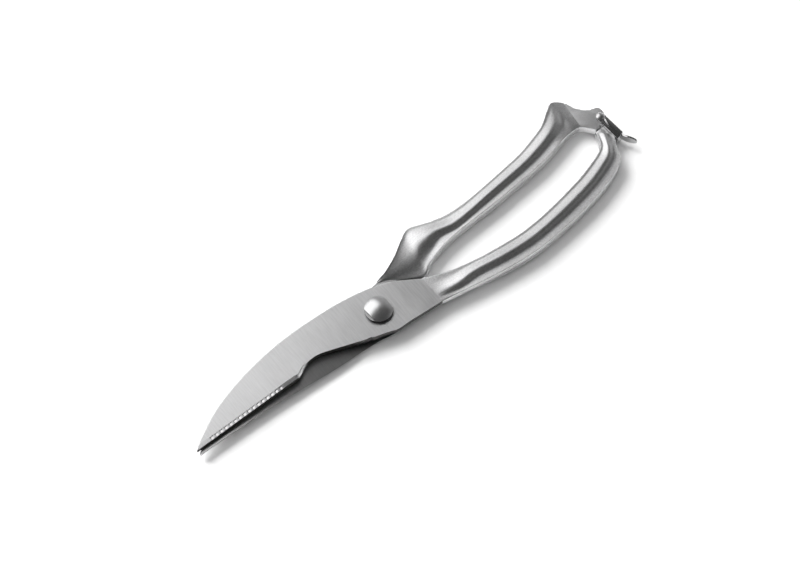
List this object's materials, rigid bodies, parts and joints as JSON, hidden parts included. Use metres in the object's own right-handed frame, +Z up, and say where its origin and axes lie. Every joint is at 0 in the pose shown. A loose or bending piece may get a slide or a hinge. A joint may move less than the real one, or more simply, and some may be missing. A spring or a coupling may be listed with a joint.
{
  "type": "poultry shears",
  "caption": "Stainless steel poultry shears with curved serrated blades, a bone notch, hollow handles, a sprung pivot and a swing latch on the handle ends, closed and latched.",
  "frame": {"origin": "on the blade pivot's axis, at the flat underside of the pivot nut, which rests on the table", "axes": "+X from the blade tips towards the handles, +Y towards the rear half's handle, +Z up along the pivot axis, out of the flat side"},
  "size_m": [0.2506, 0.0562, 0.0114],
  "materials": {
    "blade_steel": "brushed across the blade",
    "handle_steel": "fine satin",
    "polished_steel": "polished",
    "latch_steel": "polished sheet",
    "spring_steel": "bright drawn wire"
  },
  "bodies": {
    "front_half": {"front_blade": "blade_steel", "front_handle_upper_shell": "handle_steel", "front_handle_lower_shell": "handle_steel", "front_catch_plate": "handle_steel", "pivot_screw": "polished_steel", "pivot_washer_top": "polished_steel", "pivot_washer_bottom": "polished_steel", "pivot_nut": "polished_steel", "torsion_spring": "spring_steel"},
    "rear_half": {"rear_blade": "blade_steel", "rear_handle_upper_shell": "handle_steel", "rear_handle_lower_shell": "handle_steel", "rear_lug_plate": "handle_steel", "latch_pin": "polished_steel"},
    "latch": {"latch": "latch_steel"}
  },
  "joints": [
    {"name": "blade_pivot", "type": "hinge", "parent": "front_half", "child": "rear_half", "pos_m": [0, 0, 0.0051], "axis": [0, 0, 1], "range_deg": [0, 38]},
    {"name": "latch_hinge", "type": "hinge", "parent": "rear_half", "child": "latch", "pos_m": [0.1429, 0.0151, 0.0051], "axis": [0, 0, 1], "range_deg": [0, 90]}
  ]
}
